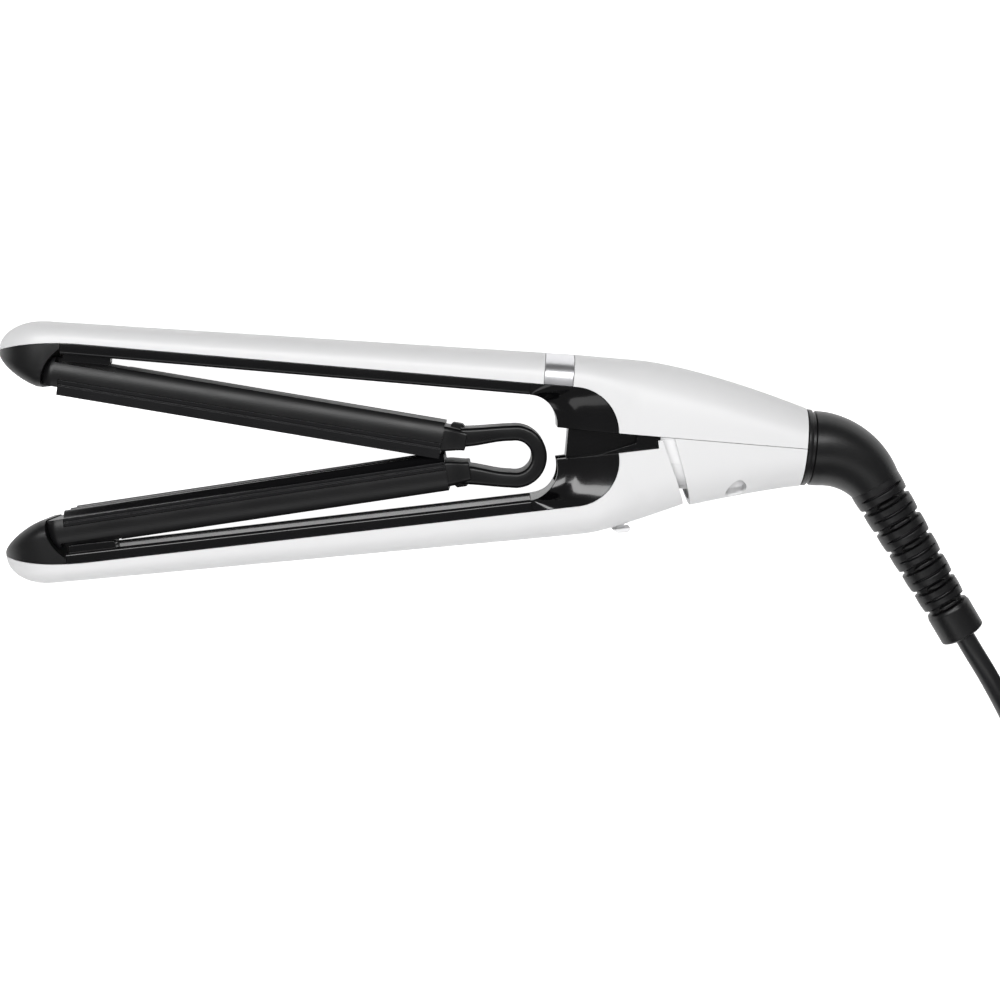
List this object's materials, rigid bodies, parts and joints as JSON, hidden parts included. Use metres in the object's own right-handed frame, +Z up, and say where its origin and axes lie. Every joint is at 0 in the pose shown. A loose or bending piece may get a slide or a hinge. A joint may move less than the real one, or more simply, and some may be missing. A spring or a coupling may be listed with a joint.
{
  "type": "hair crimper",
  "caption": "Two-arm hair crimper, open, with floating crimp plates joined by a loop strap and an angled swivel cord boot.",
  "frame": {"origin": "on the surface that the tool lies on, under the middle of the arms and tail", "axes": "+X along the tool from the noses to the cord, +Y the way the arms open, +Z up, across the arms' width"},
  "size_m": [0.4093, 0.173, 0.032],
  "materials": {
    "white_shell": "satin",
    "matte_black": "matte",
    "gloss_black": "gloss",
    "plate_coating": "satin",
    "chrome": "polished",
    "steel": "brushed",
    "heater": "matte",
    "board": "satin",
    "strap_rubber": "satin",
    "boot_rubber": "satin",
    "cord_jacket": "satin",
    "tie": "matte"
  },
  "bodies": {
    "handle": {"upper_shell": "white_shell", "upper_nose": "matte_black", "upper_liner": "gloss_black", "trim_band": "chrome", "tail_cover": "white_shell", "tail_screws": "steel", "hinge_block": "gloss_black", "hinge_pin": "steel", "arm_spring": "steel", "upper_bar_pin": "steel", "circuit_board": "board", "swivel_bush": "gloss_black"},
    "lower_arm": {"lower_shell": "white_shell", "lower_nose": "matte_black", "lower_liner": "gloss_black", "lower_bar_pin": "steel"},
    "lock": {"lock_slider": "white_shell"},
    "upper_crimp_bar": {"upper_bar": "matte_black", "upper_plate": "plate_coating", "upper_heater": "heater", "upper_socket": "matte_black", "loop_strap": "strap_rubber"},
    "lower_crimp_bar": {"lower_bar": "matte_black", "lower_plate": "plate_coating", "lower_heater": "heater", "lower_socket": "matte_black"},
    "cord_swivel": {"swivel_collar": "boot_rubber", "boot_elbow": "boot_rubber", "strain_relief": "boot_rubber", "cord_lead": "cord_jacket", "cord_coil": "cord_jacket", "cord_tail": "cord_jacket", "coil_tie": "tie", "plug_body": "boot_rubber", "plug_pins": "steel"}
  },
  "joints": [
    {"name": "arm_hinge", "type": "hinge", "parent": "handle", "child": "lower_arm", "pos_m": [0.07441, 0, 0.016], "axis": [0, 0, -1], "range_deg": [0, 11.5]},
    {"name": "upper_bar_pivot", "type": "hinge", "parent": "handle", "child": "upper_crimp_bar", "pos_m": [-0.0919, 0.0282, 0.016], "axis": [0, 0, 1], "range_deg": [0, 4.6]},
    {"name": "strap_flex", "type": "hinge", "parent": "upper_crimp_bar", "child": "lower_crimp_bar", "pos_m": [0.01322, -0.00258, 0.016], "axis": [0, 0, -1], "range_deg": [0, 18], "deforming": ["loop_strap"]},
    {"name": "lock_slide", "type": "slide", "parent": "lower_arm", "child": "lock", "axis": [0.995, 0.1002, 0], "range_m": [0, 0.004]},
    {"name": "cord_swivel_turn", "type": "hinge", "parent": "handle", "child": "cord_swivel", "pos_m": [0.11885, -0.00186, 0.016], "axis": [0.995, -0.1002, 0], "continuous": true}
  ],
  "couplings": [
    {"joint": "upper_bar_pivot", "follows": "arm_hinge", "ratio": 0.4},
    {"joint": "strap_flex", "follows": "arm_hinge", "ratio": 1.5652}
  ]
}
